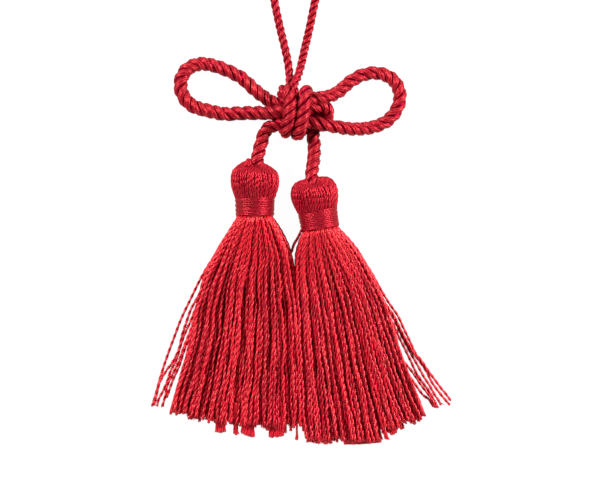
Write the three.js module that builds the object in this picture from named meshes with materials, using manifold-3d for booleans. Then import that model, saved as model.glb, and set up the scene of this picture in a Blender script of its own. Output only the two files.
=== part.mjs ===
// Tassel bow: a three-ply rope tied in a bow, with a hanging cord and two tassels, laid flat on a surface.
// Millimetres. +X runs to the right of the bow, +Y up along the hanging cord, +Z away from the surface.
// The origin is on the surface, under the middle of the knot.

import * as THREE from "three";
import { mergeVertices } from "three/addons/utils/BufferGeometryUtils.js";
import Module from "manifold-3d";

const wasm = await Module();
wasm.setup();

// Rope: three plies, laid with a right-hand twist
const ROPE_RADIUS = 2.1;
const ROPE_PITCH = 9.6;
const ROPE_STEP = 1.37;

// Hanging cord: the same make, thinner
const HANGER_RADIUS = 1.25;
const HANGER_PITCH = 6.7;
const HANGER_STEP = 1.12;

// Section of a laid cord of three plies: share of the radius at the furrow and over the back of each ply
const PLIES = 3;
const ROPE_PLY = [0.82, 1.0, 1.0];
const HANGER_PLY = [0.8, 1.04];

// Free space left round a cord where it enters another piece
const CLEARANCE = 0.35;
const SLEEVE_SIDES = 8;

// Squeezed heart of the knot: its middle height and its half sizes
const HEART_HEIGHT = 3.7;
const HEART_HALF = { x: 4.3, y: 5.0, z: 4.4 };

// Tassel head and neck
const HEAD_SIDES = 20;
const HEAD_FURROW = 0.14;
const NECK_RADIUS = 5.05;
const LEFT_HEAD_LENGTH = 11.7;
const RIGHT_HEAD_LENGTH = 10.3;

// Neck binding
const BINDING_LENGTH = 5.9;
const BINDING_INNER_RADIUS = 5.4;
const BINDING_RADIUS = 6.4;
const BINDING_RIDGES = 5;
const BINDING_FURROW = 0.16;
const BINDING_SIDES = 18;

// Gather of the yarns right under the binding, where the roots of the locks are one with the head
const GATHER_RADIUS = 5.9;
const GATHER_END_RADIUS = 6.3;
const GATHER_LENGTH = 1.6;
const ROOT_RADIUS = 6.05;
const ROOT_DEPTH = 0.6;

// Fringe: each skirt is a bundle of four-sided locks, in columns across and rows up
const LOCK_COLUMNS = 16;
const LOCK_ROWS = 4;
const LOCK_FILL = 0.84;
const TIP_UNEVEN = 2.2;

// Middle line of the rope, from the left tassel through the knot and both loops to the right tassel
const ROPE_ROUTE = {
  leftLeg: [
    { x: -13.4, y: -20.0, z: 7.4 },
    { x: -12.8, y: -15.8, z: 6.6 },
    { x: -12.1, y: -12.2, z: 5.4 },
    { x: -11.2, y: -9.0, z: 4.7 },
    { x: -10.1, y: -6.3, z: 4.6 },
    { x: -7.4, y: -4.7, z: 5.0 },
    { x: -3.8, y: -4.1, z: 5.4 },
    { x: 0.4, y: -3.7, z: 5.6 },
    { x: 4.6, y: -3.4, z: 5.8 },
  ],
  rightLoop: [
    { x: 8.0, y: -4.2, z: 5.8 },
    { x: 12.0, y: -4.8, z: 4.7 },
    { x: 16.2, y: -5.4, z: 3.2 },
    { x: 20.4, y: -5.4, z: 2.3 },
    { x: 24.6, y: -4.7, z: 2.1 },
    { x: 28.9, y: -2.7, z: 2.1 },
    { x: 31.8, y: 0.9, z: 2.1 },
    { x: 32.8, y: 5.2, z: 2.1 },
    { x: 31.3, y: 9.5, z: 2.1 },
    { x: 28.2, y: 11.8, z: 2.1 },
    { x: 24.4, y: 12.5, z: 2.1 },
    { x: 20.2, y: 11.6, z: 2.1 },
    { x: 16.4, y: 9.3, z: 2.4 },
    { x: 13.2, y: 6.4, z: 3.4 },
    { x: 9.6, y: 4.7, z: 4.7 },
    { x: 5.6, y: 4.2, z: 5.6 },
  ],
  leftLoopOut: [
    { x: 1.2, y: 3.9, z: 5.7 },
    { x: -3.2, y: 3.0, z: 4.8 },
    { x: -7.2, y: 2.8, z: 3.7 },
    { x: -10.6, y: 4.7, z: 3.1 },
    { x: -14.0, y: 7.4, z: 2.6 },
    { x: -17.6, y: 10.7, z: 2.2 },
    { x: -21.8, y: 13.0, z: 2.1 },
    { x: -26.6, y: 14.8, z: 2.1 },
    { x: -31.2, y: 15.4, z: 2.1 },
    { x: -35.4, y: 13.6, z: 2.1 },
    { x: -37.4, y: 9.6, z: 2.1 },
  ],
  leftLoopBack: [
    { x: -36.6, y: 5.2, z: 2.1 },
    { x: -33.6, y: 2.0, z: 2.1 },
    { x: -28.8, y: 0.5, z: 2.1 },
    { x: -23.4, y: -0.6, z: 2.4 },
    { x: -17.8, y: -0.4, z: 3.2 },
    { x: -12.2, y: -0.2, z: 4.5 },
    { x: -7.0, y: 0.0, z: 6.0 },
    { x: -2.4, y: 0.2, z: 6.0 },
    { x: 2.2, y: 0.9, z: 5.6 },
    { x: 5.6, y: 1.6, z: 5.2 },
  ],
  shortLoop: [
    { x: 8.3, y: 1.6, z: 4.6 },
    { x: 9.6, y: -0.4, z: 3.5 },
    { x: 8.6, y: -3.0, z: 2.4 },
    { x: 5.8, y: -4.3, z: 1.9 },
    { x: 2.5, y: -3.2, z: 1.8 },
    { x: -0.7, y: -0.3, z: 1.8 },
    { x: -3.2, y: 3.2, z: 2.0 },
    { x: -4.5, y: 6.0, z: 4.2 },
  ],
  leftWrap: [
    { x: -3.6, y: 6.6, z: 7.2 },
    { x: -2.4, y: 4.2, z: 9.1 },
    { x: -2.3, y: 0.8, z: 9.6 },
    { x: -2.8, y: -2.8, z: 9.4 },
    { x: -3.6, y: -5.6, z: 7.9 },
    { x: -3.8, y: -6.4, z: 5.2 },
    { x: -2.9, y: -4.9, z: 2.6 },
    { x: -1.3, y: -1.9, z: 1.7 },
    { x: 0.7, y: 1.6, z: 1.7 },
    { x: 2.5, y: 4.7, z: 2.2 },
    { x: 3.3, y: 6.5, z: 4.6 },
  ],
  rightWrap: [
    { x: 3.1, y: 6.2, z: 7.4 },
    { x: 2.7, y: 3.9, z: 9.3 },
    { x: 2.5, y: 0.6, z: 9.6 },
    { x: 1.8, y: -2.9, z: 9.5 },
    { x: 0.7, y: -6.0, z: 8.3 },
    { x: 0.0, y: -7.3, z: 5.6 },
    { x: 0.7, y: -6.3, z: 3.0 },
  ],
  rightLeg: [
    { x: 2.7, y: -4.9, z: 2.0 },
    { x: 4.5, y: -5.7, z: 2.1 },
    { x: 5.1, y: -8.4, z: 2.6 },
    { x: 5.4, y: -11.8, z: 3.4 },
    { x: 5.2, y: -15.4, z: 4.6 },
    { x: 4.7, y: -18.8, z: 5.8 },
    { x: 4.5, y: -22.0, z: 6.9 },
    { x: 5.1, y: -25.6, z: 7.4 },
  ],
};

// Middle line of the hanging cord: out of the knot on the left, round the loop, back in front of itself
const HANGER_ROUTE = {
  leftStrand: [
    { x: -1.6, y: 4.6, z: 6.3 },
    { x: -2.4, y: 8.2, z: 5.2 },
    { x: -2.5, y: 11.4, z: 3.0 },
    { x: -3.0, y: 15.6, z: 1.6 },
    { x: -4.1, y: 20.8, z: 1.3 },
    { x: -5.6, y: 27.0, z: 1.25 },
    { x: -7.3, y: 35.0, z: 1.25 },
    { x: -8.7, y: 42.5, z: 1.25 },
    { x: -9.3, y: 50.0, z: 1.25 },
    { x: -8.2, y: 57.2, z: 1.25 },
    { x: -5.0, y: 63.0, z: 1.25 },
    { x: -0.4, y: 65.3, z: 1.25 },
  ],
  rightStrand: [
    { x: 4.3, y: 63.0, z: 1.25 },
    { x: 7.5, y: 57.2, z: 1.25 },
    { x: 8.4, y: 50.0, z: 1.25 },
    { x: 7.3, y: 42.5, z: 1.25 },
    { x: 5.6, y: 35.4, z: 1.25 },
    { x: 3.8, y: 26.6, z: 1.25 },
    { x: 2.3, y: 20.2, z: 1.4 },
    { x: 1.0, y: 14.2, z: 2.6 },
    { x: 0.0, y: 10.8, z: 5.2 },
    { x: -0.5, y: 8.3, z: 7.8 },
    { x: 0.1, y: 5.4, z: 8.0 },
    { x: 0.8, y: 2.8, z: 6.0 },
  ],
};

// Outline of a tassel head: share of its length from the top, and radius
const HEAD_OUTLINE = [
  { along: 0.0, radius: 2.95 },
  { along: 0.05, radius: 4.3 },
  { along: 0.14, radius: 5.6 },
  { along: 0.28, radius: 7.0 },
  { along: 0.44, radius: 7.65 },
  { along: 0.58, radius: 7.7 },
  { along: 0.74, radius: 7.3 },
  { along: 0.88, radius: 6.7 },
  { along: 0.98, radius: 6.0 },
];

// Each skirt, level by level under its root: the two edges, the height and how round the section still is
const LEFT_SKIRT = [
  { leftX: -25.9, leftY: -44.0, rightX: -3.0, rightY: -44.0, low: 0.0, high: 10.4, round: 0.55 },
  { leftX: -32.5, leftY: -60.0, rightX: -0.6, rightY: -60.0, low: 0.0, high: 7.0, round: 0.2 },
  { leftX: -40.6, leftY: -96.0, rightX: 0.5, rightY: -102.0, low: 0.0, high: 4.6, round: 0.0 },
];
const RIGHT_SKIRT = [
  { leftX: -0.3, leftY: -44.0, rightX: 19.4, rightY: -44.0, low: 0.0, high: 10.4, round: 0.55 },
  { leftX: 0.0, leftY: -60.0, rightX: 27.2, rightY: -60.0, low: 0.0, high: 7.0, round: 0.2 },
  { leftX: 1.1, leftY: -103.5, rightX: 40.4, rightY: -96.0, low: 0.0, high: 4.6, round: 0.0 },
];

// How far the hem hangs below the straight line between its corners, from the left edge to the right
const LEFT_HEM = [
  { across: 0.0, drop: 0.4 },
  { across: 0.25, drop: 1.4 },
  { across: 0.45, drop: 4.0 },
  { across: 0.6, drop: 1.6 },
  { across: 0.75, drop: 3.0 },
  { across: 1.0, drop: 0.8 },
];
const RIGHT_HEM = [
  { across: 0.0, drop: 0.8 },
  { across: 0.3, drop: 3.2 },
  { across: 0.55, drop: 5.0 },
  { across: 0.7, drop: 4.6 },
  { across: 0.8, drop: 2.0 },
  { across: 1.0, drop: 0.6 },
];

// Locks that stray out of the outer edge: how far their tips lie out of the row and short of it
const LEFT_STRAYS = [
  { column: 0, row: 0, out: -6.4, short: 3.0 },
  { column: 0, row: 1, out: -3.6, short: 2.4 },
];
const RIGHT_STRAYS = [
  { column: LOCK_COLUMNS - 1, row: 0, out: 8.6, short: 1.0 },
  { column: LOCK_COLUMNS - 1, row: 1, out: 4.6, short: 0.6 },
  { column: LOCK_COLUMNS - 1, row: 2, out: 2.6, short: 0.8 },
];

const TASSELS = {
  left: {
    top: new THREE.Vector3(-13.54, -16.1, 7.6),
    tilt: 0,
    headLength: LEFT_HEAD_LENGTH,
    skirt: LEFT_SKIRT,
    hem: LEFT_HEM,
    strays: LEFT_STRAYS,
  },
  right: {
    top: new THREE.Vector3(4.64, -21.8, 7.6),
    tilt: THREE.MathUtils.degToRad(9.7),
    headLength: RIGHT_HEAD_LENGTH,
    skirt: RIGHT_SKIRT,
    hem: RIGHT_HEM,
    strays: RIGHT_STRAYS,
  },
};

const red = (shade, name) => new THREE.MeshStandardMaterial({ name, color: shade, roughness: 0.42, metalness: 0 });

// Closed geometry to solid, and back
function toSolid(geometry) {
  const shell = geometry.clone();
  shell.deleteAttribute("normal");
  shell.deleteAttribute("uv");
  const merged = mergeVertices(shell, 1e-4);
  return new wasm.Manifold(new wasm.Mesh({
    numProp: 3,
    vertProperties: new Float32Array(merged.attributes.position.array),
    triVerts: new Uint32Array(merged.index.array),
  }));
}

// The outer shell alone, so that no pocket stays closed in between strands that press together
function toGeometry(solid) {
  const { vertProperties, triVerts } = solid.getMesh();
  const shell = Array.from({ length: vertProperties.length / 3 }, (_, vertex) => vertex);
  const rootOf = (vertex) => {
    let root = vertex;
    while (shell[root] !== root) {
      root = shell[root];
    }
    shell[vertex] = root;
    return root;
  };
  for (let i = 0; i < triVerts.length; i += 3) {
    shell[rootOf(triVerts[i + 1])] = rootOf(triVerts[i]);
    shell[rootOf(triVerts[i + 2])] = rootOf(triVerts[i]);
  }
  const faces = new Map();
  for (let i = 0; i < triVerts.length; i += 3) {
    const root = rootOf(triVerts[i]);
    faces.set(root, [...(faces.get(root) ?? []), ...triVerts.subarray(i, i + 3)]);
  }
  const outer = [...faces.values()].reduce((most, each) => (each.length > most.length ? each : most));
  const geometry = new THREE.BufferGeometry();
  geometry.setAttribute("position", new THREE.Float32BufferAttribute(vertProperties, 3));
  geometry.setIndex(outer);
  geometry.computeVertexNormals();
  return geometry;
}

const joined = (solids) => solids.reduce((whole, solid) => whole.add(solid));

// Moves each point of a geometry to the place that a function gives, and never below the surface
function reshaped(geometry, place) {
  const positions = geometry.attributes.position;
  const point = new THREE.Vector3();
  for (let i = 0; i < positions.count; i += 1) {
    point.fromBufferAttribute(positions, i);
    const moved = place(point);
    positions.setXYZ(i, moved.x, moved.y, Math.max(moved.z, 0));
  }
  return geometry;
}

// Rings along a route: their middles, the frame at each and the turn of the lay
function cordRings(route, pitch, step) {
  const parts = Object.values(route);
  const points = parts.flat().map(({ x, y, z }) => new THREE.Vector3(x, y, z));
  const curve = new THREE.CatmullRomCurve3(points, false, "centripetal");
  const perPoint = 24;
  curve.arcLengthDivisions = (points.length - 1) * perPoint;
  const lengths = curve.getLengths();
  const total = lengths[lengths.length - 1];
  const count = Math.round(total / step);
  const frames = curve.computeFrenetFrames(count, false);
  const rings = [];
  for (let i = 0; i <= count; i += 1) {
    rings.push({
      middle: curve.getPointAt(i / count),
      normal: frames.normals[i],
      binormal: frames.binormals[i],
      turn: (2 * Math.PI * i * total) / (count * pitch),
    });
  }
  const joints = [0];
  let passed = 0;
  for (const part of parts) {
    passed += part.length;
    joints.push(Math.round((lengths[(passed - 1) * perPoint] / total) * count));
  }
  return { rings, joints };
}

// One closed stretch of cord between two rings. The section is a list of radii, even round the middle.
function cordStretch(rings, first, last, section, twisted) {
  const steps = last - first;
  const sides = section.length;
  const geometry = new THREE.CylinderGeometry(1, 1, steps, sides, steps);
  return reshaped(geometry, (point) => {
    const ring = rings[first + Math.round(point.y + steps / 2)];
    const reach = Math.hypot(point.x, point.z);
    if (reach < 0.5) {
      return ring.middle.clone();
    }
    const side = (Math.round((Math.atan2(point.x, point.z) / (2 * Math.PI)) * sides) + sides) % sides;
    const angle = (2 * Math.PI * side) / sides + (twisted ? ring.turn : 0);
    return ring.middle.clone()
      .addScaledVector(ring.normal, section[side] * Math.cos(angle))
      .addScaledVector(ring.binormal, section[side] * Math.sin(angle));
  });
}

// The whole laid cord as one solid, joined from the stretches between its joints
function laidCord({ rings, joints }, radius, ply) {
  const section = Array.from({ length: PLIES }, () => ply.map((share) => share * radius)).flat();
  const stretches = [];
  for (let i = 1; i < joints.length; i += 1) {
    stretches.push(toSolid(cordStretch(rings, joints[i - 1], joints[i], section, true)));
  }
  return joined(stretches);
}

// Room that a cord takes in a piece that it enters, between two of its rings
function sleeve({ rings }, first, last, radius) {
  const section = Array(SLEEVE_SIDES).fill(radius + CLEARANCE);
  return toSolid(cordStretch(rings, first, last, section, false));
}

function knotHeart() {
  const geometry = new THREE.SphereGeometry(1, 16, 10);
  geometry.rotateX(Math.PI / 2);
  return toSolid(reshaped(geometry, ({ x, y, z }) => new THREE.Vector3(
    x * HEART_HALF.x,
    y * HEART_HALF.y,
    z * HEART_HALF.z + HEART_HEIGHT,
  )));
}

// Directions of a tassel: down its axis, and across it in the plane of the surface
function tasselFrame({ top, tilt }) {
  const along = new THREE.Vector3(Math.sin(tilt), -Math.cos(tilt), 0);
  const across = new THREE.Vector3(Math.cos(tilt), Math.sin(tilt), 0);
  return (x, y, z) => top.clone()
    .addScaledVector(across, x)
    .addScaledVector(along, y)
    .add(new THREE.Vector3(0, 0, -z));
}

const neckEnd = (tassel) => tassel.headLength + BINDING_LENGTH + 2 * CLEARANCE;

// Head, neck and gather, with a shallow furrow between the yarns that cover the head
function tasselHead(tassel) {
  const profile = HEAD_OUTLINE.map(({ along, radius }) => new THREE.Vector2(radius, along * tassel.headLength));
  const gatherStart = neckEnd(tassel);
  const gatherEnd = gatherStart + GATHER_LENGTH;
  profile.unshift(new THREE.Vector2(0, 0));
  profile.push(new THREE.Vector2(NECK_RADIUS, tassel.headLength));
  profile.push(new THREE.Vector2(NECK_RADIUS, gatherStart));
  profile.push(new THREE.Vector2(GATHER_RADIUS, gatherStart));
  profile.push(new THREE.Vector2(GATHER_END_RADIUS, gatherEnd));
  profile.push(new THREE.Vector2(0, gatherEnd));
  const geometry = new THREE.LatheGeometry(profile, HEAD_SIDES);
  const place = tasselFrame(tassel);
  return reshaped(geometry, ({ x, y, z }) => {
    const side = Math.round((Math.atan2(x, z) / (2 * Math.PI)) * HEAD_SIDES);
    const furrow = side % 2 === 0 && y < tassel.headLength ? HEAD_FURROW : 0;
    const share = 1 - furrow / Math.max(Math.hypot(x, z), 1);
    return place(x * share, y, z * share);
  });
}

// Ring of thread turns round the neck
function binding(tassel) {
  const start = tassel.headLength + CLEARANCE;
  const profile = [new THREE.Vector2(BINDING_INNER_RADIUS, start)];
  for (let i = 0; i <= 2 * BINDING_RIDGES; i += 1) {
    const furrow = i % 2 === 0 ? BINDING_FURROW : 0;
    const along = start + (BINDING_LENGTH * i) / (2 * BINDING_RIDGES);
    profile.push(new THREE.Vector2(BINDING_RADIUS - furrow, along));
  }
  profile.push(new THREE.Vector2(BINDING_INNER_RADIUS, start + BINDING_LENGTH));
  profile.push(profile[0].clone());
  const place = tasselFrame(tassel);
  return reshaped(new THREE.LatheGeometry(profile, BINDING_SIDES), ({ x, y, z }) => place(x, y, z));
}

// Repeatable unevenness from 0 to 1 for a lock
function unevenness(column, row) {
  const wave = Math.sin(column * 12.9898 + row * 78.233) * 43758.5453;
  return wave - Math.floor(wave);
}

function valueAcross(table, across, key) {
  const next = Math.max(1, table.findIndex((entry) => entry.across >= across));
  const from = table[next - 1];
  const to = table[next];
  return THREE.MathUtils.mapLinear(across, from.across, to.across, from[key], to[key]);
}

// Point of a skirt level: u runs from -1 to 1 across it and v from -1 to 1 up it
function levelPoint(level, u, v) {
  const roundU = u * Math.sqrt(1 - (v * v) / 2);
  const roundV = v * Math.sqrt(1 - (u * u) / 2);
  const across = (THREE.MathUtils.lerp(u, roundU, level.round) + 1) / 2;
  const up = (THREE.MathUtils.lerp(v, roundV, level.round) + 1) / 2;
  return new THREE.Vector3(
    THREE.MathUtils.lerp(level.leftX, level.rightX, across),
    THREE.MathUtils.lerp(level.leftY, level.rightY, across),
    THREE.MathUtils.lerp(level.low, level.high, up),
  );
}

// Level of the roots, a round section square to the tassel's axis inside the gather
function rootLevel(tassel) {
  const place = tasselFrame(tassel);
  const depth = neckEnd(tassel) + GATHER_LENGTH - ROOT_DEPTH;
  const left = place(-ROOT_RADIUS, depth, 0);
  const right = place(ROOT_RADIUS, depth, 0);
  return {
    leftX: left.x,
    leftY: left.y,
    rightX: right.x,
    rightY: right.y,
    low: left.z - ROOT_RADIUS,
    high: left.z + ROOT_RADIUS,
    round: 1,
  };
}

// One four-sided lock of the fringe, from its root to its own tip
function lock(tassel, levels, column, row) {
  const spans = levels.length - 1;
  const stray = tassel.strays.find((entry) => entry.column === column && entry.row === row);
  const geometry = new THREE.BoxGeometry(2, spans, 2, 1, spans, 1);
  return reshaped(geometry, (point) => {
    const depth = Math.round(spans / 2 - point.y);
    const u = (2 * (column + 0.5 + 0.5 * point.x * LOCK_FILL)) / LOCK_COLUMNS - 1;
    const low = row === 0 && point.z < 0;
    const v = low ? -1 : (2 * (row + 0.5 + 0.5 * point.z * LOCK_FILL)) / LOCK_ROWS - 1;
    const place = levelPoint(levels[depth], u, v);
    if (depth === spans) {
      const across = (column + 0.5) / LOCK_COLUMNS;
      const longer = TIP_UNEVEN * (unevenness(column, row) - 0.5);
      place.y -= valueAcross(tassel.hem, across, "drop") + longer - (stray ? stray.short : 0);
    }
    const sway = Math.max(0, (depth - 1) / (spans - 1)) ** 2;
    place.x += stray ? stray.out * sway : 0;
    return place;
  });
}

function tasselBody(tassel, cord, first, last) {
  const levels = [rootLevel(tassel), ...tassel.skirt];
  const locks = [];
  for (let column = 0; column < LOCK_COLUMNS; column += 1) {
    for (let row = 0; row < LOCK_ROWS; row += 1) {
      locks.push(toSolid(lock(tassel, levels, column, row)));
    }
  }
  const head = toSolid(tasselHead(tassel)).subtract(sleeve(cord, first, last, ROPE_RADIUS));
  return toGeometry(joined([head, ...locks]));
}

const rope = cordRings(ROPE_ROUTE, ROPE_PITCH, ROPE_STEP);
const hanger = cordRings(HANGER_ROUTE, HANGER_PITCH, HANGER_STEP);
const ropeEnd = rope.rings.length - 1;
const hangerEnd = hanger.rings.length - 1;
const ROPE_END_RINGS = 10;
const HANGER_END_RINGS = 14;

const hangerRoom = joined([
  sleeve(hanger, 0, HANGER_END_RINGS, HANGER_RADIUS),
  sleeve(hanger, hangerEnd - HANGER_END_RINGS, hangerEnd, HANGER_RADIUS),
]);
const bowRope = laidCord(rope, ROPE_RADIUS, ROPE_PLY).add(knotHeart()).subtract(hangerRoom);

const pieces = {
  bow_rope: [toGeometry(bowRope), 0xc41e2e],
  hanger_cord: [toGeometry(laidCord(hanger, HANGER_RADIUS, HANGER_PLY)), 0xbd1c2c],
  tassel_left: [tasselBody(TASSELS.left, rope, 0, ROPE_END_RINGS), 0xc8202f],
  tassel_right: [tasselBody(TASSELS.right, rope, ropeEnd - ROPE_END_RINGS, ropeEnd), 0xc8202f],
  binding_left: [toGeometry(toSolid(binding(TASSELS.left))), 0xb81a2a],
  binding_right: [toGeometry(toSolid(binding(TASSELS.right))), 0xb81a2a],
};

const tasselBow = new THREE.Group();
for (const [name, [geometry, shade]] of Object.entries(pieces)) {
  const mesh = new THREE.Mesh(geometry, red(shade, `${name}_yarn`));
  mesh.name = name;
  tasselBow.add(mesh);
}

export default tasselBow;
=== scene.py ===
"""Tassel bow: a three-ply rope tied in a bow, with a hanging cord and two tassels, laid flat.

Every strand that shows is modelled: the plies of the rope and of the hanging cord, the yarns of
the tassel heads, the wound thread of the neck bindings and the twisted yarns of both fringes.
Sizes in the tables are in millimetres and are turned into metres where a piece is made.
"""

import logging
import math
import random
from dataclasses import dataclass, field, replace
from enum import Enum
from typing import Sequence

import bmesh
import bpy
import numpy as np
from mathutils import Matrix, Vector


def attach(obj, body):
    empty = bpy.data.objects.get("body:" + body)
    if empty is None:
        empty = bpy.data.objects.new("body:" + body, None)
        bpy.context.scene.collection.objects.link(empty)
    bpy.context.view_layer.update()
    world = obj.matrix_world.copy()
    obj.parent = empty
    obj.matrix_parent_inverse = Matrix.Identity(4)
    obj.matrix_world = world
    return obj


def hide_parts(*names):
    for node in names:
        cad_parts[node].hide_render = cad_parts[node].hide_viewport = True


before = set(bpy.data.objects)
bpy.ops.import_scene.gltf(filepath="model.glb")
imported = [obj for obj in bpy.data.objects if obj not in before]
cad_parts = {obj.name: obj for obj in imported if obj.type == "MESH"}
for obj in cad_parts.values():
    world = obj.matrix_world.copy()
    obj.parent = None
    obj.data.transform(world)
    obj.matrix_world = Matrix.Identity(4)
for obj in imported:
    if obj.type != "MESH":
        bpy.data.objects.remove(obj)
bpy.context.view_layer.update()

MM = 0.001
FULL_TURN = 2 * math.pi
ANY_PHASE = 6.3  # upper end of a random phase, in radians
Points = np.ndarray
Point = tuple[float, float, float]
Path = Sequence[Point]
Pairs = Sequence[tuple[float, float]]
Colour = tuple[float, float, float]
log = logging.getLogger("tassel_bow")


class Side(Enum):
    """Side of the bow that a tassel hangs on, as in the names of its nodes and pieces."""

    LEFT = "left"
    RIGHT = "right"


# Lines ----------------------------------------------------


def smooth_line(points: Sequence[Sequence[float]], spacing: float) -> Points:
    """Runs a centripetal spline through the points and samples it evenly.

    Args:
        points: Points in millimetres.
        spacing: Distance between the samples, in millimetres.

    Returns:
        An array of evenly spaced points, in millimetres.
    """
    samples_a_span = 24
    given = np.asarray(points, float)
    padded = np.vstack([2 * given[0] - given[1], given, 2 * given[-1] - given[-2]])
    dense = []
    for i in range(1, len(padded) - 2):
        p0, p1, p2, p3 = padded[i - 1 : i + 3]
        t1 = np.linalg.norm(p1 - p0) ** 0.5
        t2 = t1 + np.linalg.norm(p2 - p1) ** 0.5
        t3 = t2 + np.linalg.norm(p3 - p2) ** 0.5
        t = np.linspace(t1, t2, samples_a_span, endpoint=False)[:, None]
        a1 = (t1 - t) / t1 * p0 + t / t1 * p1
        a2 = (t2 - t) / (t2 - t1) * p1 + (t - t1) / (t2 - t1) * p2
        a3 = (t3 - t) / (t3 - t2) * p2 + (t - t2) / (t3 - t2) * p3
        b1 = (t2 - t) / t2 * a1 + t / t2 * a2
        b2 = (t3 - t) / (t3 - t1) * a2 + (t - t1) / (t3 - t1) * a3
        dense.append((t2 - t) / (t2 - t1) * b1 + (t - t1) / (t2 - t1) * b2)
    line = np.vstack([*dense, given[-1:]])
    run = arc_lengths(line)
    count = max(3, int(round(run[-1] / spacing)) + 1)
    wanted = np.linspace(0, run[-1], count)
    return np.stack([np.interp(wanted, run, line[:, k]) for k in range(3)], axis=1)


def arc_lengths(line: Points) -> Points:
    """Distance along a line at each of its points."""
    steps = np.linalg.norm(np.diff(line, axis=0), axis=1)
    return np.concatenate([[0.0], np.cumsum(steps)])


def steady_frames(line: Points) -> tuple[Points, Points]:
    """Carries a pair of side directions along a line without turning them about it.

    Args:
        line: Points of the line.

    Returns:
        The two side directions at each point. Their cross product points forward.
    """
    nearly_upright = 0.9
    tangents = np.gradient(line, axis=0)
    tangents /= np.linalg.norm(tangents, axis=1)[:, None]
    upright = abs(tangents[0][2]) >= nearly_upright
    side = np.cross((1.0, 0.0, 0.0) if upright else (0.0, 0.0, 1.0), tangents[0])
    sides = []
    for tangent in tangents:
        side = side - tangent * np.dot(side, tangent)
        side /= np.linalg.norm(side)
        sides.append(side)
    first = np.array(sides)
    return first, np.cross(tangents, first)


# Pieces ---------------------------------------------------


def placed(name: str, data: bpy.types.ID) -> bpy.types.Object:
    """Makes an object of a mesh, curve, lamp or camera and links it, at the origin."""
    made = bpy.data.objects.new(name, data)
    bpy.context.scene.collection.objects.link(made)
    return made


def mesh_of(name: str, work: bmesh.types.BMesh) -> bpy.types.Mesh:
    """Turns a working mesh into a mesh and frees it."""
    mesh = bpy.data.meshes.new(name)
    work.to_mesh(mesh)
    work.free()
    return mesh


def finished(name: str, mesh: bpy.types.Mesh) -> bpy.types.Object:
    """Closes a mesh's open ends, turns its faces outward, smooths it and links it as a piece.

    Args:
        name: Name of the piece.
        mesh: Mesh in metres, in the part's frame.

    Returns:
        The object, at the origin.
    """
    most_smooth_corners = 4
    work = bmesh.new()
    work.from_mesh(mesh)
    bmesh.ops.holes_fill(work, edges=[edge for edge in work.edges if edge.is_boundary], sides=0)
    bmesh.ops.recalc_face_normals(work, faces=work.faces)
    for face in work.faces:
        face.smooth = len(face.verts) <= most_smooth_corners
    work.to_mesh(mesh)
    work.free()
    return placed(name, mesh)


# Strands --------------------------------------------------


@dataclass(frozen=True)
class Section:
    """Section of a strand: a circle of unit radius with lobes where its yarns lie.

    Attributes:
        sides: Number of points round the section.
        lobes: Number of yarns that show round it.
        furrow: Share of the radius that is lost between two yarns.
    """

    sides: int
    lobes: int
    furrow: float

    def angles(self) -> Points:
        """Angle of each point round the section."""
        return FULL_TURN * np.arange(self.sides) / self.sides

    def depth(self) -> Points:
        """How deep in a furrow each point lies, from 0 on a lobe to 1."""
        return 1 - np.abs(np.cos(self.lobes * self.angles() / 2))

    def as_curve(self) -> bpy.types.Object:
        """The section as a closed flat curve, one millimetre in radius."""
        curve = bpy.data.curves.new("section", "CURVE")
        curve.dimensions = "2D"
        spline = curve.splines.new("POLY")
        spline.points.add(self.sides - 1)
        for point, angle, depth in zip(spline.points, self.angles(), self.depth()):
            radius = (1 - self.furrow * depth) * MM
            point.co = (radius * math.cos(angle), radius * math.sin(angle), 0, 1)
        spline.use_cyclic_u = True
        return placed("section", curve)


@dataclass
class Strand:
    """One strand: its middle line and radii in millimetres, its twist's start and its tones."""

    line: Points
    radii: Points
    phase: float
    tones: Points


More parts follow.
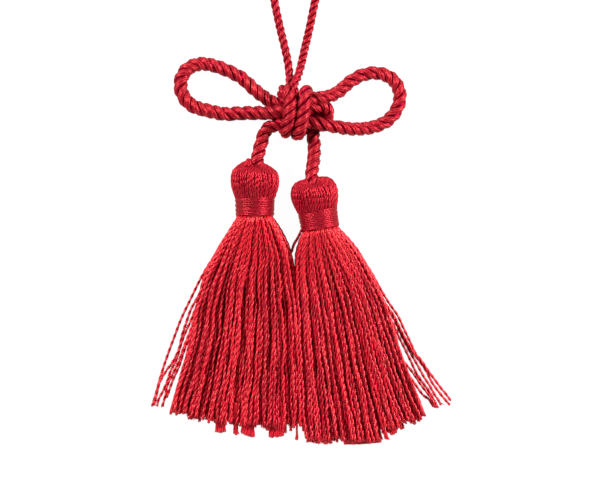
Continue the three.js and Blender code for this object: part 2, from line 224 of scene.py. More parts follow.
@dataclass
class StrandBundle:
    """Many strands of one section, swept along their lines and kept as one mesh.

    Attributes:
        name: Name of the piece.
        section: Section of every strand.
        pitch: Length of one full turn of the twist, in millimetres.
        strands: The strands.
        apart: Distance between the fibre patterns of two neighbouring strands, in millimetres.
    """

    name: str
    section: Section
    pitch: float
    strands: list[Strand] = field(default_factory=list)
    apart: float = 37.0

    def add(
        self, line: Points, radius: float | Points, phase: float = 0.0, tone: float | Points = 0.5
    ) -> None:
        """Adds one strand.

        Args:
            line: Its middle line, in millimetres.
            radius: Its radius, in millimetres, all along or at each point.
            phase: Where its twist starts, in radians.
            tone: How light its colour is, from 0 to 1, all along or at each point. In the fringes
                it also holds painted light.
        """
        radii, tones = (
            np.array(np.broadcast_to(np.asarray(given, float), (len(line),)))
            for given in (radius, tone)
        )
        self.strands.append(Strand(line, radii, phase, tones))

    def build(self) -> bpy.types.Object:
        """Sweeps the section along every line.

        Returns:
            The mesh object, closed at the ends of each strand.
        """
        profile = self.section.as_curve()
        curve = bpy.data.curves.new(self.name, "CURVE")
        curve.dimensions = "3D"
        curve.twist_mode = "MINIMUM"
        curve.bevel_mode = "OBJECT"
        curve.bevel_object = profile
        for strand in self.strands:
            spline = curve.splines.new("POLY")
            count = len(strand.line)
            spline.points.add(count - 1)
            at = np.hstack([strand.line * MM, np.ones((count, 1))])
            turns = arc_lengths(strand.line) / self.pitch
            spline.points.foreach_set("co", at.ravel())
            spline.points.foreach_set("radius", strand.radii)
            spline.points.foreach_set("tilt", strand.phase + FULL_TURN * turns)
        swept = placed(self.name, curve)
        depsgraph = bpy.context.evaluated_depsgraph_get()
        mesh = bpy.data.meshes.new_from_object(swept.evaluated_get(depsgraph))
        for used in (swept, profile):
            bpy.data.objects.remove(used)
        self.mark(mesh)
        return finished(self.name, mesh)

    def mark(self, mesh: bpy.types.Mesh) -> None:
        """Writes each point's place on its strand, its furrow's depth, which sets where shade is
        painted, and its strand's tone.
        """
        sides = self.section.sides
        around = np.stack([np.cos(self.section.angles()), np.sin(self.section.angles())], axis=1)
        places, furrows, tones = [], [], []
        for i, strand in enumerate(self.strands):
            count = len(strand.line)
            along = np.repeat(arc_lengths(strand.line) + self.apart * i, sides)[:, None]
            places.append(np.concatenate([np.tile(around, (count, 1)), along], 1))
            furrows.append(np.tile(self.section.depth(), count))
            tones.append(np.repeat(strand.tones, sides))
        for name, kind, key, values in (
            ("strand_place", "FLOAT_VECTOR", "vector", places),
            ("furrow", "FLOAT", "value", furrows),
            ("tone", "FLOAT", "value", tones),
        ):
            made = mesh.attributes.new(name, kind, "POINT")
            made.data.foreach_set(key, np.concatenate(values).ravel())


# Finishes -------------------------------------------------


def fibre_group() -> bpy.types.ShaderNodeTree:
    """Fibres of a glossy yarn, which run along the strand: colour with painted shade in the
    furrows, roughness, lustre and height.

    Returns:
        The node group, made once.
    """
    known = bpy.data.node_groups.get("yarn_fibres")
    if known:
        return known
    group = bpy.data.node_groups.new("yarn_fibres", "ShaderNodeTree")
    for way, kind, names in (
        ("INPUT", "Color", ("Deep", "Bright", "Dark")),
        ("INPUT", "Float", ("Fineness", "Furrow Shade", "Gloss", "Tone Share", "Lustre")),
        ("OUTPUT", "Color", ("Color",)),
        ("OUTPUT", "Float", ("Roughness", "Metallic", "Height")),
    ):
        for name in names:
            group.interface.new_socket(name, in_out=way, socket_type=f"NodeSocket{kind}")
    nodes = group.nodes
    given, out = nodes.new("NodeGroupInput").outputs, nodes.new("NodeGroupOutput").inputs
    place, furrow, tone = (nodes.new("ShaderNodeAttribute") for _ in range(3))
    place.attribute_name = "strand_place"
    furrow.attribute_name, tone.attribute_name = "furrow", "tone"
    stretch = nodes.new("ShaderNodeMapping")
    stretch.inputs["Scale"].default_value = (1.0, 1.0, 0.22)
    fibres, flecks = (nodes.new("ShaderNodeTexNoise") for _ in range(2))
    fibres.inputs["Detail"].default_value = 3.0
    fibres.inputs["Roughness"].default_value = 0.65
    flecks.inputs["Scale"].default_value = 1.4
    flecks.inputs["Detail"].default_value = 1.0
    spread = nodes.new("ShaderNodeMapRange")
    spread.inputs["From Min"].default_value = 0.32
    spread.inputs["From Max"].default_value = 0.68
    lighter, dye, dark = (nodes.new("ShaderNodeMix") for _ in range(3))
    dye.data_type = dark.data_type = "RGBA"
    shade, tinted, matt = (nodes.new("ShaderNodeMath") for _ in range(3))
    shade.operation, tinted.operation, matt.operation = "MULTIPLY", "MAXIMUM", "MULTIPLY_ADD"
    matt.inputs[1].default_value = 0.22
    for start, end in (
        (place.outputs["Vector"], stretch.inputs["Vector"]),
        (stretch.outputs["Vector"], fibres.inputs["Vector"]),
        (given["Fineness"], fibres.inputs["Scale"]),
        (place.outputs["Vector"], flecks.inputs["Vector"]),
        (fibres.outputs["Fac"], spread.inputs["Value"]),
        (given["Tone Share"], lighter.inputs["Factor"]),
        (spread.outputs["Result"], lighter.inputs["A"]),
        (tone.outputs["Fac"], lighter.inputs["B"]),
        (lighter.outputs["Result"], dye.inputs["Factor"]),
        (given["Deep"], dye.inputs["A"]),
        (given["Bright"], dye.inputs["B"]),
        # Painted shade: the furrow mask blends the colour towards the Dark colour and makes the
        # furrows' shine take the yarn's colour
        (furrow.outputs["Fac"], shade.inputs[0]),
        (given["Furrow Shade"], shade.inputs[1]),
        (given["Dark"], dark.inputs["B"]),
        (shade.outputs["Value"], dark.inputs["Factor"]),
        (dye.outputs["Result"], dark.inputs["A"]),
        (shade.outputs["Value"], tinted.inputs[0]),
        (given["Lustre"], tinted.inputs[1]),
        (flecks.outputs["Fac"], matt.inputs[0]),
        (given["Gloss"], matt.inputs[2]),
        (dark.outputs["Result"], out["Color"]),
        (matt.outputs["Value"], out["Roughness"]),
        (tinted.outputs["Value"], out["Metallic"]),
        (fibres.outputs["Fac"], out["Height"]),
    ):
        group.links.new(start, end)
    return group


@dataclass(frozen=True)
class YarnFinish:
    """Glossy dyed viscose yarn. Colours are linear. The fibre group's inputs are named as here.

    Attributes:
        name: Name of the material.
        slot: The record's material slot. Not used.
        deep: Colour of the darker fibres.
        bright: Colour of the lighter fibres.
        dark: Colour of the shade painted deep in a furrow.
        fineness: How fine the fibres look across a strand.
        furrow_shade: How strongly shade is painted into the furrows between the yarns. It also
            makes their shine take the yarn's colour there.
        gloss: Lowest roughness of the fibres.
        tone_share: How much a strand's own tone counts against the fibres' streaks.
        lustre: How much the fibres' shine takes their colour, as silk's does.
        shine: Strength of the fibres' own shine.
        relief: Strength of the fibre relief.
        relief_depth: Depth of the fibre relief, in metres.
        shine_colour: Tint of the fibres' own shine.
    """

    name: str
    slot: str
    deep: Colour
    bright: Colour
    dark: Colour
    fineness: float
    furrow_shade: float
    gloss: float
    tone_share: float
    lustre: float
    shine: float
    relief: float
    relief_depth: float
    shine_colour: Colour = (1.0, 0.46, 0.35)

    def material(self) -> bpy.types.Material:
        """Builds the material, once."""
        known = bpy.data.materials.get(self.name)
        if known:
            return known
        made = bpy.data.materials.new(self.name)
        made.use_nodes = True
        nodes, links = made.node_tree.nodes, made.node_tree.links
        shader = nodes["Principled BSDF"]
        shader.inputs["Specular IOR Level"].default_value = self.shine
        shader.inputs["Specular Tint"].default_value = (*self.shine_colour, 1.0)
        fibres = nodes.new("ShaderNodeGroup")
        fibres.node_tree = fibre_group()
        for given in fibres.inputs:
            value = getattr(self, given.name.lower().replace(" ", "_"))
            given.default_value = (*value, 1.0) if given.type == "RGBA" else value
        bump = nodes.new("ShaderNodeBump")
        bump.inputs["Strength"].default_value = self.relief
        bump.inputs["Distance"].default_value = self.relief_depth
        links.new(fibres.outputs["Color"], shader.inputs["Base Color"])
        for name in ("Roughness", "Metallic"):
            links.new(fibres.outputs[name], shader.inputs[name])
        links.new(fibres.outputs["Height"], bump.inputs["Height"])
        links.new(bump.outputs["Normal"], shader.inputs["Normal"])
        return made

    def dress(self, piece: bpy.types.Object, *nodes: str) -> bpy.types.Object:
        """Gives a piece this finish and its place in the frame.

        Args:
            piece: The finished mesh object.
            nodes: CAD nodes that the piece stands for.

        Returns:
            The same object.
        """
        piece.data.materials.clear()
        piece.data.materials.append(self.material())
        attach(piece, "root")
        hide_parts(*nodes)
        triangles = sum(len(face.vertices) - 2 for face in piece.data.polygons)
        log.info("%s: %d triangles", piece.name, triangles)
        return piece


# In each finish, dark is the shade painted deep in furrows and grooves, and furrow_shade is how
# strongly it is painted
ROPE_YARN = YarnFinish(
    name="rope_viscose", slot="rope_yarn",
    deep=(0.16, 0.0005, 0.008), bright=(0.37, 0.008, 0.013), dark=(0.17, 0.0, 0.013),
    fineness=4.2, furrow_shade=0.95, gloss=0.3, tone_share=0.35, lustre=0.22, shine=0.36,
    relief=0.6, relief_depth=0.0002,
)
HANGER_YARN = replace(
    ROPE_YARN, name="hanger_viscose", slot="hanger_yarn", fineness=3.4, relief_depth=0.00018
)
FRINGE_YARN = YarnFinish(
    name="fringe_viscose", slot="tassel_yarn",
    deep=(0.29, 0.0002, 0.012), bright=(0.7, 0.009, 0.024), dark=(0.24, 0.001, 0.016),
    fineness=1.6, furrow_shade=0.86, gloss=0.3, tone_share=0.7, lustre=0.16, shine=0.85,
    relief=0.25, relief_depth=0.00015,
)
HEAD_YARN = YarnFinish(
    name="head_viscose", slot="tassel_yarn",
    deep=(0.27, 0.0006, 0.012), bright=(0.39, 0.009, 0.018), dark=(0.17, 0.0, 0.011),
    fineness=1.6, furrow_shade=0.78, gloss=0.33, tone_share=0.6, lustre=0.46, shine=0.4,
    relief=0.25, relief_depth=0.00015,
)
BINDING_THREAD = YarnFinish(
    name="binding_viscose", slot="binding_thread",
    deep=(0.15, 0.0002, 0.009), bright=(0.36, 0.004, 0.014), dark=(0.17, 0.0, 0.011),
    fineness=2.2, furrow_shade=0.7, gloss=0.25, tone_share=0.4, lustre=0.56, shine=0.5,
    relief=0.5, relief_depth=0.00015,
)


# Rope and hanging cord ------------------------------------

# Middle line of the rope, from the left tassel through the knot and both loops to the right tassel
ROPE_ROUTE = (
    (-13.4, -20.0, 7.4), (-12.8, -15.8, 6.6), (-12.1, -12.2, 5.4), (-11.2, -9.0, 4.7),
    (-10.1, -6.0, 4.6), (-7.4, -4.4, 5.0), (-3.8, -4.1, 5.4), (0.4, -3.7, 5.6), (4.6, -3.4, 5.8),
    (8.0, -4.2, 5.8), (12.0, -4.8, 4.7), (16.2, -5.4, 3.2), (20.4, -5.4, 2.3), (24.6, -4.7, 2.1),
    (28.9, -2.7, 2.1), (31.8, 0.9, 2.1), (32.8, 5.2, 2.1), (31.3, 9.5, 2.1), (28.2, 11.8, 2.1),
    (24.4, 12.5, 2.1), (20.2, 11.6, 2.1), (16.4, 9.3, 2.4), (13.2, 6.4, 3.4), (9.6, 4.7, 4.7),
    (5.6, 4.2, 5.6), (1.2, 3.9, 5.7), (-3.2, 3.0, 4.8), (-7.2, 2.8, 3.7), (-10.6, 4.7, 3.1),
    (-14.0, 7.4, 2.6), (-17.6, 10.7, 2.2), (-21.8, 13.0, 2.1), (-26.6, 14.8, 2.1),
    (-31.2, 15.4, 2.1), (-35.4, 13.6, 2.1), (-37.4, 9.6, 2.1), (-36.6, 5.2, 2.1),
    (-33.6, 2.0, 2.1), (-28.8, 0.5, 2.1), (-23.4, -0.6, 2.4), (-17.8, -0.4, 3.2),
    (-12.2, -0.4, 4.5), (-7.0, -0.4, 6.0), (-2.4, 0.2, 6.0), (2.2, 0.9, 5.6), (5.6, 1.6, 5.2),
    (8.3, 1.6, 4.6), (9.6, -0.4, 3.5), (8.6, -3.0, 2.4), (5.8, -4.3, 1.9), (2.5, -3.2, 1.8),
    (-0.7, -0.3, 1.8), (-3.2, 3.2, 2.0), (-4.5, 6.0, 4.2), (-3.6, 6.6, 7.2), (-2.4, 4.2, 9.1),
    (-2.3, 0.8, 9.6), (-2.8, -2.8, 9.4), (-3.6, -5.6, 7.9), (-3.8, -6.4, 5.2), (-2.9, -4.9, 2.6),
    (-1.3, -1.9, 1.7), (0.7, 1.6, 1.7), (2.2, 4.5, 2.2), (2.8, 6.2, 4.6), (2.6, 5.9, 7.4),
    (2.3, 3.7, 9.3), (2.0, 0.5, 9.6), (1.5, -2.9, 9.5), (0.6, -6.0, 8.3), (0.0, -7.3, 5.6),
    (0.7, -6.3, 3.0), (2.7, -4.9, 2.0), (4.5, -5.7, 2.1), (5.1, -8.4, 2.6), (5.4, -11.8, 3.4),
    (5.2, -15.4, 4.6), (4.7, -18.8, 5.8), (4.5, -22.0, 6.9), (5.1, -25.6, 7.4),
)

# Middle line of the hanging cord: out of the knot on the left, round the loop and back
HANGER_ROUTE = (
    (-1.6, 4.6, 6.3), (-2.4, 8.2, 5.2), (-2.5, 11.4, 3.0), (-3.0, 15.6, 1.6), (-4.1, 20.8, 1.3),
    (-5.6, 27.0, 1.25), (-7.3, 35.0, 1.25), (-8.7, 42.5, 1.25), (-9.3, 50.0, 1.25),
    (-8.2, 57.2, 1.25), (-5.0, 63.0, 1.25), (-0.4, 65.3, 1.25), (4.3, 63.0, 1.25),
    (7.5, 57.2, 1.25), (8.4, 50.0, 1.25), (7.3, 42.5, 1.25), (5.6, 35.4, 1.25), (3.8, 26.6, 1.25),
    (2.3, 20.2, 1.4), (1.0, 14.2, 2.6), (0.0, 10.8, 5.2), (-1.0, 8.3, 7.6), (-0.8, 5.6, 7.8),
    (0.2, 3.0, 6.0),
)


@dataclass
class LaidCord:
    """A cord of plies laid round each other.

    Attributes:
        name: Name of the piece.
        node: CAD node that it stands for.
        route: Middle line, in millimetres.
        radius: Outer radius, in millimetres.
        pitch: Length of one turn of the lay, in millimetres.
        finish: Finish of its yarn.
        section: Section of a ply.
        yarn_pitch: Length of one turn of the yarns in a ply, in millimetres.
        step: Distance between two sections, in millimetres.
        fullness: Share of the length, and how full the cord is there.
        plies: Number of plies.
        ply_share: Radius of a ply, as a share of the cord's.
        swings: Swings of the lay, in radians, and the millimetres to a radian of each.
    """

    name: str
    node: str
    route: Path
    radius: float
    pitch: float
    finish: YarnFinish
    section: Section
    yarn_pitch: float
    step: float
    fullness: Pairs = ((0.0, 1.0), (1.0, 1.0))
    plies: int = 3
    ply_share: float = 0.515
    swings: Pairs = ((0.3, 3.7), (0.25, 7.9))

    def build(self) -> bpy.types.Object:
        """Returns:
            The piece.
        """
        line = smooth_line(self.route, self.step)
        first, second = steady_frames(line)
        run = arc_lengths(line)
        full = self.radius * np.interp(run / run[-1], *zip(*self.fullness))
        turn = FULL_TURN * run / self.pitch
        for most, length in self.swings:
            turn += most * np.sin(run / length)
        bundle = StrandBundle(self.name, self.section, self.yarn_pitch)
        for i in range(self.plies):
            angle = turn + FULL_TURN * i / self.plies
            away = first * np.cos(angle)[:, None] + second * np.sin(angle)[:, None]
            ply = line + (full * (1 - self.ply_share))[:, None] * away
            ply[:, 2] = np.maximum(ply[:, 2], full * self.ply_share)
            phase, tone = 1.7 * i, 0.35 + 0.15 * i
            bundle.add(ply, full * self.ply_share, phase, tone)
        piece = self.finish.dress(bundle.build(), self.node)
        self.shade_grooves(piece, line, full)
        return piece

    def shade_grooves(self, piece: bpy.types.Object, line: Points, full: Points) -> None:
        """Paints shade into the grooves between the plies, by counting them as furrows too.

        Args:
            piece: The swept plies, ring after ring.
            line: Middle line of the cord.
            full: Radius of the cord at each point of the line.
        """
        groove_top, groove_depth, furrow_share = 0.93, 0.17, 0.75
        count = len(piece.data.vertices)
        at = np.empty(count * 3)
        piece.data.vertices.foreach_get("co", at)
        rings = (np.arange(count) // self.section.sides) % len(line)
        out = np.linalg.norm(at.reshape(-1, 3) / MM - line[rings], axis=1) / full[rings]
        furrow = piece.data.attributes["furrow"].data
        own = np.empty(count)
        furrow.foreach_get("value", own)
        # Painted shade: the deeper a point lies between the plies, the darker it is painted
        groove = np.clip((groove_top - out) / groove_depth, 0, 1)
        furrow.foreach_set("value", np.maximum(own * furrow_share, groove))


@dataclass
class KnotHeart:
    """A squeezed filler in the middle of the knot, painted dark as shade, which closes the view
    between the strands.

    Attributes:
        name: Name of the piece.
        middle: Its middle, in millimetres.
        half: Half its size each way, in millimetres.
        furrow: How much painted shade its yarn takes, as if it lay deep in a furrow.
    """

    name: str
    middle: Point
    half: Point
    furrow: float = 0.75

    def build(self) -> bpy.types.Object:
        """Makes the heart and dresses it in rope yarn with painted shade, as if it lay deep in a
        furrow.
        """
        work = bmesh.new()
        bmesh.ops.create_icosphere(work, subdivisions=4, radius=MM)
        bmesh.ops.scale(work, vec=self.half, verts=work.verts)
        bmesh.ops.translate(work, vec=Vector(self.middle) * MM, verts=work.verts)
        mesh = mesh_of(self.name, work)
        shades = mesh.attributes.new("furrow", "FLOAT", "POINT")
        shades.data.foreach_set("value", [self.furrow] * len(mesh.vertices))
        return ROPE_YARN.dress(finished(self.name, mesh), "bow_rope")


# Tassels --------------------------------------------------


@dataclass(frozen=True)
class SkirtRow:
    """One level of a skirt: its two edges in plan, its heights and how round its section is."""

    left_x: float
    left_y: float
    right_x: float
    right_y: float
    low: float
    high: float
    round: float

    def point(self, u: float, v: float) -> Points:
        """Point of the level, with u from -1 to 1 across it and v from -1 to 1 up it."""
        across = u + (u * math.sqrt(1 - v * v / 2) - u) * self.round
        up = v + (v * math.sqrt(1 - u * u / 2) - v) * self.round
        share = (across + 1) / 2
        return np.array(
            (
                self.left_x + (self.right_x - self.left_x) * share,
                self.left_y + (self.right_y - self.left_y) * share,
                self.low + (self.high - self.low) * (up + 1) / 2,
            )
        )


# Lower and upper height of each level of a skirt, and how round its section still is
SKIRT_LEVELS = (
    (2.3, 12.9, 1.0), (1.2, 14.0, 1.0), (0.5, 13.2, 0.9), (0.0, 11.6, 0.65), (0.0, 9.8, 0.45),
    (0.0, 8.0, 0.25), (0.0, 6.6, 0.1), (0.0, 5.6, 0.0), (0.0, 4.9, 0.0), (0.0, 4.4, 0.0),
    (0.0, 4.2, 0.0),
)


def skirt(*edges: tuple[float, float, float, float]) -> tuple[SkirtRow, ...]:
    """Levels of a skirt, from its left and its right edge in plan at each of them."""
    return tuple(SkirtRow(*edge, *level) for edge, level in zip(edges, SKIRT_LEVELS))


LEFT_ROWS = skirt(
    (-18.9, -33.0, -8.2, -33.0), (-20.0, -34.6, -7.0, -34.6), (-21.9, -37.2, -5.3, -37.2),
    (-24.4, -41.0, -3.4, -41.0), (-27.1, -46.0, -1.5, -46.0), (-30.3, -53.0, -0.5, -53.0),
    (-32.6, -62.0, 0.5, -62.0), (-34.6, -73.0, 1.2, -73.0), (-37.2, -83.0, 1.7, -83.0),
    (-40.2, -93.0, 2.2, -93.0), (-42.6, -102.0, 2.7, -106.0),
)
RIGHT_ROWS = skirt(
    (2.0, -38.1, 12.6, -36.3), (0.9, -39.6, 13.9, -37.4), (-0.1, -42.2, 15.9, -39.6),
    (-0.9, -45.0, 18.6, -43.0), (-1.2, -49.0, 21.6, -47.6), (-0.9, -54.6, 24.9, -54.0),
    (-0.2, -62.0, 28.2, -62.0), (0.5, -73.0, 31.8, -73.0), (1.0, -83.0, 35.2, -83.0),
    (1.4, -93.0, 39.2, -93.0), (2.2, -109.0, 43.6, -102.0),
)

# Hem of each skirt: share of the way across it, and how far down its yarns reach
LEFT_HEM = (
    (0.0, -95.6), (0.012, -96.0), (0.07, -96.5), (0.17, -97.9), (0.245, -98.6), (0.34, -99.2),
    (0.45, -100.0), (0.555, -100.2), (0.67, -100.3), (0.753, -100.9), (0.844, -100.8),
    (0.903, -100.1), (1.0, -100.0),
)
RIGHT_HEM = (
    (0.0, -101.4), (0.016, -101.8), (0.022, -105.2), (0.095, -105.3), (0.168, -105.6),
    (0.217, -105.3), (0.242, -104.6), (0.29, -104.6), (0.3, -105.5), (0.61, -105.4),
    (0.618, -102.4), (0.63, -101.0), (0.7, -101.4), (0.76, -101.2), (0.772, -99.9), (0.806, -99.7),
    (0.84, -98.6), (0.87, -99.5), (0.9, -98.3), (0.93, -99.2), (0.955, -97.4), (1.0, -96.6),
)

# Outline of each head: distance down its axis, and radius
LEFT_OUTLINE = (
    (-0.3, 2.1), (0.0, 2.6), (0.4, 3.4), (1.15, 4.85), (2.3, 6.4), (3.25, 7.3), (4.5, 7.7),
    (5.9, 7.8), (8.0, 7.55), (9.8, 7.0), (11.2, 6.55), (12.1, 6.0), (13.2, 5.4),
)
RIGHT_OUTLINE = (
    (-0.3, 2.4), (-0.1, 3.3), (0.0, 4.4), (0.3, 5.4), (0.8, 6.2), (1.6, 6.85), (2.7, 7.35),
    (4.4, 7.65), (6.0, 7.5), (7.4, 7.2), (8.7, 6.8), (9.8, 6.45), (10.7, 5.9), (11.8, 5.4),
)

# Yarns that lie apart from each skirt, beside its outer edge
LEFT_STRAYS = (
    ((-16.6, -34.2, 6.0), (-21.4, -39.6, 4.2), (-26.4, -45.8, 2.4), (-30.6, -52.5, 1.4),
     (-34.1, -59.5, 0.8), (-37.3, -66.2, 0.5), (-39.5, -72.0, 0.5), (-41.4, -77.1, 0.5),
     (-43.0, -81.8, 0.5), (-44.3, -86.1, 0.5), (-45.4, -90.2, 0.5), (-46.6, -94.1, 0.5)),
    ((-16.2, -34.4, 5.0), (-22.4, -41.6, 2.8), (-28.2, -51.0, 1.4), (-31.8, -58.9, 0.8),
     (-34.1, -63.0, 0.6), (-35.7, -67.5, 0.5), (-37.0, -71.4, 0.5), (-37.9, -75.5, 0.5),
     (-39.8, -79.7, 0.5), (-42.1, -82.9, 0.6), (-44.2, -86.7, 1.3), (-45.1, -90.2, 0.8),
     (-46.0, -93.9, 0.5)),
    ((-15.8, -34.6, 5.5), (-22.8, -42.6, 2.4), (-29.4, -54.0, 1.2), (-32.4, -62.2, 0.7),
     (-34.4, -67.2, 0.5), (-36.3, -71.4, 0.5), (-37.6, -75.2, 0.5), (-38.9, -79.4, 0.5),
     (-40.8, -83.2, 0.5), (-41.8, -86.4, 0.5), (-43.4, -89.9, 0.5), (-44.6, -92.2, 0.5),
     (-45.0, -94.1, 0.5)),
    ((-15.6, -34.6, 6.0), (-22.6, -43.0, 2.8), (-29.2, -55.0, 1.4), (-32.2, -63.6, 0.9),
     (-34.4, -70.1, 0.6), (-36.3, -74.9, 0.5), (-37.9, -79.4, 0.5), (-40.2, -84.2, 0.5),
     (-41.8, -87.7, 0.5), (-42.3, -90.4, 0.5), (-43.0, -93.1, 0.5), (-43.4, -94.4, 0.5)),
    ((-15.6, -34.8, 4.5), (-22.8, -44.5, 2.6), (-29.3, -58.0, 1.6), (-33.0, -67.9, 1.0),
     (-34.9, -72.2, 0.8), (-36.8, -77.8, 0.6), (-38.0, -81.5, 0.5), (-39.7, -85.2, 0.5),
     (-41.0, -88.7, 0.5), (-41.9, -91.4, 0.5)),
)
RIGHT_STRAYS = (
    ((12.4, -37.8, 5.0), (18.4, -44.4, 2.8), (23.2, -50.6, 1.6), (26.4, -56.3, 1.0),
     (29.3, -61.1, 0.6), (32.2, -65.3, 0.5), (34.1, -69.4, 0.5), (36.0, -73.3, 0.5),
     (37.9, -77.4, 0.6), (39.8, -79.7, 0.9), (41.4, -82.2, 0.9), (43.7, -85.3, 0.5),
     (45.9, -88.3, 0.5), (47.5, -90.2, 0.5), (49.0, -92.3, 0.5)),
    ((12.2, -38.2, 4.0), (18.8, -46.0, 2.2), (24.6, -54.6, 1.2), (28.0, -61.1, 0.7),
     (30.9, -65.3, 0.6), (33.4, -70.4, 1.0), (35.7, -74.6, 1.1), (37.6, -77.8, 0.9),
     (39.5, -80.3, 0.5), (41.4, -83.2, 0.5), (43.0, -86.4, 0.5), (45.0, -89.3, 0.5),
     (47.2, -92.0, 0.5), (48.8, -93.8, 0.5)),
    ((12.0, -38.6, 4.5), (19.0, -47.6, 1.8), (25.4, -57.4, 0.9), (29.0, -63.0, 0.6),
     (31.2, -66.9, 0.5), (33.1, -71.0, 0.5), (34.7, -74.2, 0.5), (36.6, -77.8, 0.5),
     (38.6, -81.3, 0.5), (40.5, -84.8, 0.5), (42.4, -87.7, 0.5), (44.0, -90.6, 0.6),
     (45.3, -92.5, 0.8), (45.9, -93.8, 0.6)),
    ((11.8, -38.6, 5.0), (19.4, -48.6, 2.2), (25.0, -58.6, 1.2), (28.3, -64.0, 0.9),
     (30.6, -67.8, 0.6), (32.5, -72.0, 0.5), (34.4, -75.8, 0.5), (36.3, -79.7, 0.5),
     (38.2, -83.8, 0.5), (40.2, -86.7, 0.5), (42.1, -89.3, 0.5), (43.7, -92.2, 0.5),
     (45.0, -94.7, 0.5)),
    ((11.6, -38.8, 4.0), (18.8, -49.0, 2.6), (25.6, -62.0, 1.8), (30.0, -72.0, 1.2),
     (32.2, -76.8, 1.0), (34.1, -80.0, 0.8), (36.0, -82.2, 0.6), (37.9, -84.8, 0.5),
     (39.8, -87.7, 0.6), (41.8, -90.2, 1.2), (43.4, -92.8, 1.2), (44.3, -94.6, 0.8)),
    ((11.4, -38.8, 4.5), (18.4, -49.6, 3.0), (26.4, -66.0, 2.0), (31.4, -76.4, 1.4),
     (34.1, -81.9, 1.0), (36.0, -84.8, 0.6), (37.6, -87.0, 0.5), (39.2, -89.3, 0.5),
     (40.5, -90.9, 0.5), (42.1, -92.0, 0.5), (43.0, -93.4, 0.5), (43.5, -94.4, 0.5)),
)

# Small ends: a yarn end on the left head, and the right tassel's thread tail and ends under its hem
LEFT_LOOSE_ENDS = (
    ((-16.6, -17.8, 11.2), (-16.2, -16.2, 10.9), (-15.6, -15.3, 10.6), (-15.0, -16.0, 10.8),
     (-14.9, -17.4, 11.4)),
)
RIGHT_THREAD_TAILS = (
    ((2.6, -36.0, 9.6), (1.2, -38.0, 9.2), (0.1, -40.3, 8.4), (-1.1, -42.3, 7.0),
     (-1.9, -44.8, 5.4)),
)
RIGHT_CROSS_THREADS = (
    ((15.0, -106.2, 0.5), (20.8, -106.1, 0.5), (27.0, -105.5, 0.5)),
    ((15.3, -105.6, 0.6), (20.9, -105.5, 0.6), (26.9, -105.0, 0.6)),
    ((15.6, -105.0, 0.6), (21.0, -105.0, 0.6), (26.8, -104.4, 0.6)),
)


@dataclass(frozen=True)
class Tuft:
    """Loose yarn below the hem: its spread across, end, slant of the end, radius and swelling."""

    left: float
    right: float
    end: float
    slant: float = 0.0
    radius: float = 0.48
    swell: float = 1.15

    def places(self) -> list[float]:
        """Place across of each of its yarns."""
        apart = 1.45 * self.radius
        room = max(0.0, self.right - self.left - 2 * self.radius)
        count = 1 + math.ceil(room / apart)
        return [self.left + self.radius + room * i / max(1, count - 1) for i in range(count)]


LEFT_TUFTS = (
    Tuft(-26.4, -22.9, -102.5, 0.2),
    Tuft(-20.6, -18.9, -103.2, -0.5),
    Tuft(-18.2, -13.6, -103.6, -0.8),
    Tuft(-10.2, -8.6, -101.9),
    Tuft(-9.3, -4.3, -104.0, 0.3),
    Tuft(-4.9, -3.4, -102.6),
    Tuft(-2.5, -1.7, -102.2, 0.0, 0.4),
    Tuft(-0.6, 0.2, -104.9, 0.0, 0.38, 1.6),
)
RIGHT_TUFTS = (
    Tuft(1.4, 2.2, -101.9, 0.0, 0.4),
    Tuft(4.9, 6.6, -105.8),
    Tuft(7.2, 9.6, -106.0),
    Tuft(26.9, 27.7, -102.6, 0.0, 0.4),
    Tuft(28.3, 31.9, -103.0, -0.4),
    Tuft(37.0, 37.9, -99.9, 0.0, 0.42),
)


# Pieces of a fringe: layers from the surface up, section of the yarns, their fullness and tones.
# The lower and middle layers' tones are kept light as painted light, which lifts the shade seen
# between the upper yarns.
TWO_PLY = Section(8, 2, 0.45)
FRINGE_PARTS = {
    "lower": (range(0, 1), Section(6, 2, 0.2), 1.28, (0.6, 1.0)),
    "middle": (range(1, 3), TWO_PLY, 1.0, (0.6, 1.0)),
    "upper": (range(3, 5), TWO_PLY, 1.0, (0.0, 0.85)),
}
# Distance down a fringe yarn, and how full the yarn is there
YARN_TAPER = ((0, 5, 16), (0.8, 0.95, 1.0))
# Painted light near the neck: distance down a fringe yarn, and how far its tone is drawn to the
# lightest there
NECK_PAINTED_LIGHT = ((0, 8, 24), (0.8, 0.7, 0.0))
# Length and height of a fringe yarn's waves, and their share along each axis
YARN_WAVES = ((6.5, 0.09), (11.0, 0.17), (21.0, 0.34))
WAVE_SHARES = ((0, 1.0), (2, 0.7))
# How fringe yarns draw together: strength, waves across, and turn by layer, level and seed
CLUMPS = ((0.012, 8.5, 1.1, 2.6, 0), (0.009, 14.3, -1.7, -1.9, 0), (0.024, 3.1, -0.4, 1.1, 1))


